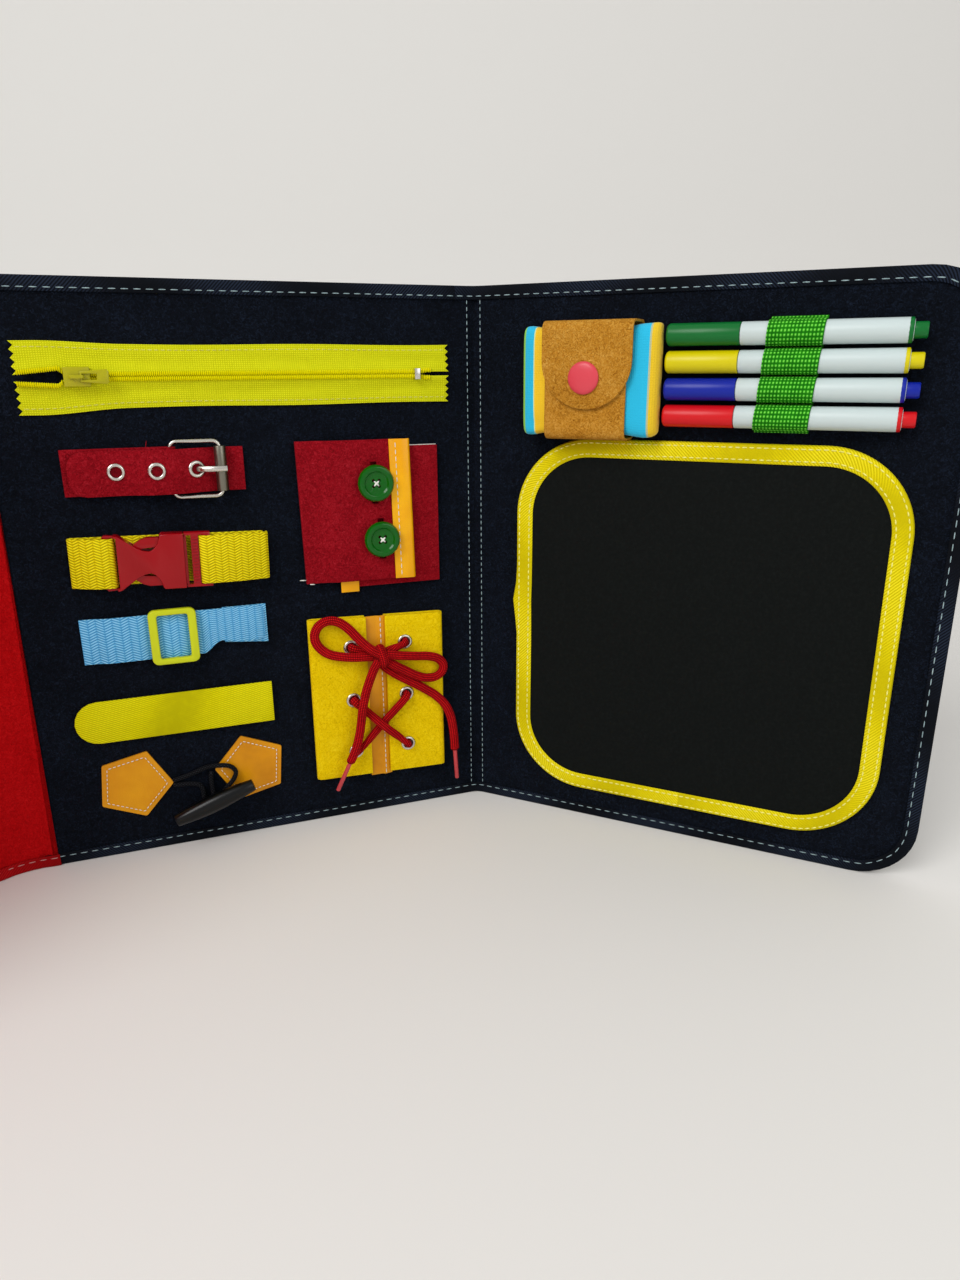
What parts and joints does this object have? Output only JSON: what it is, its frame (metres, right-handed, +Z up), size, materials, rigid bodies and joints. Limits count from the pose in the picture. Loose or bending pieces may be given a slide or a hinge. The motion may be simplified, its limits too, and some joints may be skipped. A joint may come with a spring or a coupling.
{
  "type": "felt busy board",
  "caption": "Folding felt busy board standing open like a book, with sewn-on fasteners to practise, a chalkboard, an eraser pad and markers.",
  "frame": {"origin": "middle of the base of the bounding box, in the plane that the pages stand on", "axes": "+Z up along the pages; -Y toward the fronts of the pages; +X from the red page toward the chalkboard page, along the longest extent"},
  "size_m": [0.573, 0.316, 0.3],
  "materials": {
    "navy_felt": "matte felt",
    "red_felt": "matte felt",
    "grey_board": "matte board",
    "lemon_zip": "woven tape with a plastic coil",
    "olive_enamel": "semi-gloss enamel",
    "steel": "bright nickel-plated",
    "crimson_felt": "matte felt",
    "yellow_webbing": "woven webbing",
    "red_plastic": "moulded, semi-gloss",
    "sky_webbing": "woven webbing",
    "lime_plastic": "moulded, semi-gloss",
    "yellow_strap": "hook-and-loop tape",
    "mustard_leather": "smooth faux leather",
    "black_elastic": "braided elastic",
    "black_plastic": "moulded, semi-gloss",
    "yellow_trim": "glossy faux leather",
    "green_plastic": "moulded gloss",
    "yellow_felt": "matte felt",
    "red_lace": "braided lace",
    "pink_tip": "translucent film",
    "striped_cloth": "printed stripes",
    "brown_felt": "matte felt",
    "pink_plastic": "moulded gloss",
    "green_elastic": "ribbed elastic",
    "white_plastic": "moulded gloss",
    "cap_green": "moulded gloss",
    "cap_yellow": "moulded gloss",
    "cap_blue": "moulded gloss",
    "cap_red": "moulded gloss",
    "chalkboard": "soft matte sheet",
    "yellow_binding": "woven binding tape"
  },
  "bodies": {
    "left_page": {"left_page_felt": "navy_felt", "left_page_board": "grey_board", "left_page_binding_bottom": "navy_felt", "left_page_binding_top": "navy_felt", "zip_half_upper": "lemon_zip", "zip_half_lower": "lemon_zip", "zip_stop": "steel", "belt_base": "crimson_felt", "belt_strap": "crimson_felt", "buckle_frame": "steel", "clip_webbing": "yellow_webbing", "clip_socket": "red_plastic", "adjuster_webbing": "sky_webbing", "hook_pad": "yellow_strap", "toggle_patch_left": "mustard_leather", "toggle_patch_right": "mustard_leather", "toggle_loop": "black_elastic", "toggle_holder": "black_elastic", "button_flap_upper": "crimson_felt", "button_flap_lower": "crimson_felt", "button_flap_trim": "yellow_trim", "lacing_flap_left": "yellow_felt", "lacing_flap_right": "yellow_felt", "lacing_trim": "mustard_leather", "lace_crossings": "red_lace", "lace_bow": "red_lace", "lace_tip_left": "pink_tip", "lace_tip_right": "pink_tip"},
    "right_page": {"right_page_felt": "navy_felt", "right_page_board": "grey_board", "right_page_binding": "navy_felt", "eraser_band": "brown_felt", "marker_loops": "green_elastic", "chalkboard_sheet": "chalkboard", "chalkboard_binding": "yellow_binding"},
    "red_page": {"red_page_felt": "red_felt", "red_page_board": "grey_board", "red_page_binding": "red_felt"},
    "zip_slider": {"zip_slider": "olive_enamel"},
    "zip_pull": {"zip_pull": "olive_enamel"},
    "buckle_roller": {"buckle_roller": "steel"},
    "buckle_prong": {"buckle_prong": "steel"},
    "clip_plug": {"clip_plug": "red_plastic", "clip_webbing_right": "yellow_webbing"},
    "adjuster_slide": {"adjuster_slide": "lime_plastic"},
    "loop_strap": {"loop_strap": "yellow_strap"},
    "toggle_barrel": {"toggle_barrel": "black_plastic"},
    "button_top": {"button_top": "green_plastic"},
    "button_bottom": {"button_bottom": "green_plastic"},
    "eraser_pad": {"eraser_pad": "striped_cloth"},
    "eraser_flap": {"eraser_flap": "brown_felt", "snap_cap": "pink_plastic"},
    "marker_cap_green": {"marker_cap_green": "cap_green"},
    "marker_barrel_green": {"marker_barrel_green": "white_plastic"},
    "marker_cap_yellow": {"marker_cap_yellow": "cap_yellow"},
    "marker_barrel_yellow": {"marker_barrel_yellow": "white_plastic"},
    "marker_cap_blue": {"marker_cap_blue": "cap_blue"},
    "marker_barrel_blue": {"marker_barrel_blue": "white_plastic"},
    "marker_cap_red": {"marker_cap_red": "cap_red"},
    "marker_barrel_red": {"marker_barrel_red": "white_plastic"}
  },
  "joints": [
    {"name": "spine_hinge", "type": "hinge", "parent": "left_page", "child": "right_page", "pos_m": [0.05836, 0.15455, 0], "axis": [0, 0, 1], "range_deg": [-88, 140]},
    {"name": "fold_hinge", "type": "hinge", "parent": "left_page", "child": "red_page", "pos_m": [-0.17641, 0.06864, 0], "axis": [0, 0, 1], "range_deg": [-140, 118]},
    {"name": "zip_slide", "type": "slide", "parent": "left_page", "child": "zip_slider", "axis": [0.9391, 0.3437, 0], "range_m": [0, 0.157]},
    {"name": "zip_pull_swing", "type": "hinge", "parent": "zip_slider", "child": "zip_pull", "pos_m": [-0.12617, 0.08091, 0.2553], "axis": [0, 0, -1], "range_deg": [0, 150]},
    {"name": "buckle_roller_spin", "type": "hinge", "parent": "left_page", "child": "buckle_roller", "pos_m": [-0.07059, 0.10247, 0.2103], "axis": [0, 0, 1], "continuous": true},
    {"name": "buckle_prong_swing", "type": "hinge", "parent": "left_page", "child": "buckle_prong", "pos_m": [-0.09361, 0.09553, 0.2103], "axis": [0, 0, -1], "range_deg": [0, 4]},
    {"name": "clip_release", "type": "slide", "parent": "left_page", "child": "clip_plug", "axis": [0.9388, 0.3435, -0.0262], "range_m": [0, 0.018]},
    {"name": "adjuster_slide", "type": "slide", "parent": "left_page", "child": "adjuster_slide", "axis": [0.9391, 0.3437, 0], "range_m": [-0.02, 0.022]},
    {"name": "loop_strap_peel", "type": "hinge", "parent": "left_page", "child": "loop_strap", "pos_m": [-0.05641, 0.11085, 0.0801], "axis": [0, 0, -1], "range_deg": [-95, 0]},
    {"name": "toggle_turn", "type": "hinge", "parent": "left_page", "child": "toggle_barrel", "pos_m": [-0.08844, 0.09157, 0.0266], "axis": [-0.3437, 0.9391, 0], "range_deg": [-20, 20]},
    {"name": "button_top_turn", "type": "hinge", "parent": "left_page", "child": "button_top", "pos_m": [0.00461, 0.12743, 0.199], "axis": [-0.3437, 0.9391, 0], "range_deg": [-20, 20]},
    {"name": "button_bottom_turn", "type": "hinge", "parent": "left_page", "child": "button_bottom", "pos_m": [0.00677, 0.12822, 0.1682], "axis": [-0.3437, 0.9391, 0], "range_deg": [-20, 20]},
    {"name": "eraser_slide", "type": "slide", "parent": "right_page", "child": "eraser_pad", "axis": [0.9048, -0.4258, 0], "range_m": [-0.01, 0]},
    {"name": "eraser_flap_lift", "type": "hinge", "parent": "right_page", "child": "eraser_flap", "pos_m": [0.12193, 0.12431, 0.28], "axis": [-0.9048, 0.4258, 0], "range_deg": [0, 80]},
    {"name": "marker_green_slide", "type": "slide", "parent": "right_page", "child": "marker_cap_green", "axis": [0.9048, -0.4258, 0], "range_m": [0, 0.072]},
    {"name": "marker_green_uncap", "type": "slide", "parent": "marker_cap_green", "child": "marker_barrel_green", "axis": [0.9048, -0.4258, 0], "range_m": [0, 0.03]},
    {"name": "marker_yellow_slide", "type": "slide", "parent": "right_page", "child": "marker_cap_yellow", "axis": [0.9048, -0.4258, 0], "range_m": [0, 0.072]},
    {"name": "marker_yellow_uncap", "type": "slide", "parent": "marker_cap_yellow", "child": "marker_barrel_yellow", "axis": [0.9048, -0.4258, 0], "range_m": [0, 0.03]},
    {"name": "marker_blue_slide", "type": "slide", "parent": "right_page", "child": "marker_cap_blue", "axis": [0.9048, -0.4258, 0], "range_m": [0, 0.072]},
    {"name": "marker_blue_uncap", "type": "slide", "parent": "marker_cap_blue", "child": "marker_barrel_blue", "axis": [0.9048, -0.4258, 0], "range_m": [0, 0.03]},
    {"name": "marker_red_slide", "type": "slide", "parent": "right_page", "child": "marker_cap_red", "axis": [0.9048, -0.4258, 0], "range_m": [0, 0.072]},
    {"name": "marker_red_uncap", "type": "slide", "parent": "marker_cap_red", "child": "marker_barrel_red", "axis": [0.9048, -0.4258, 0], "range_m": [0, 0.03]}
  ]
}
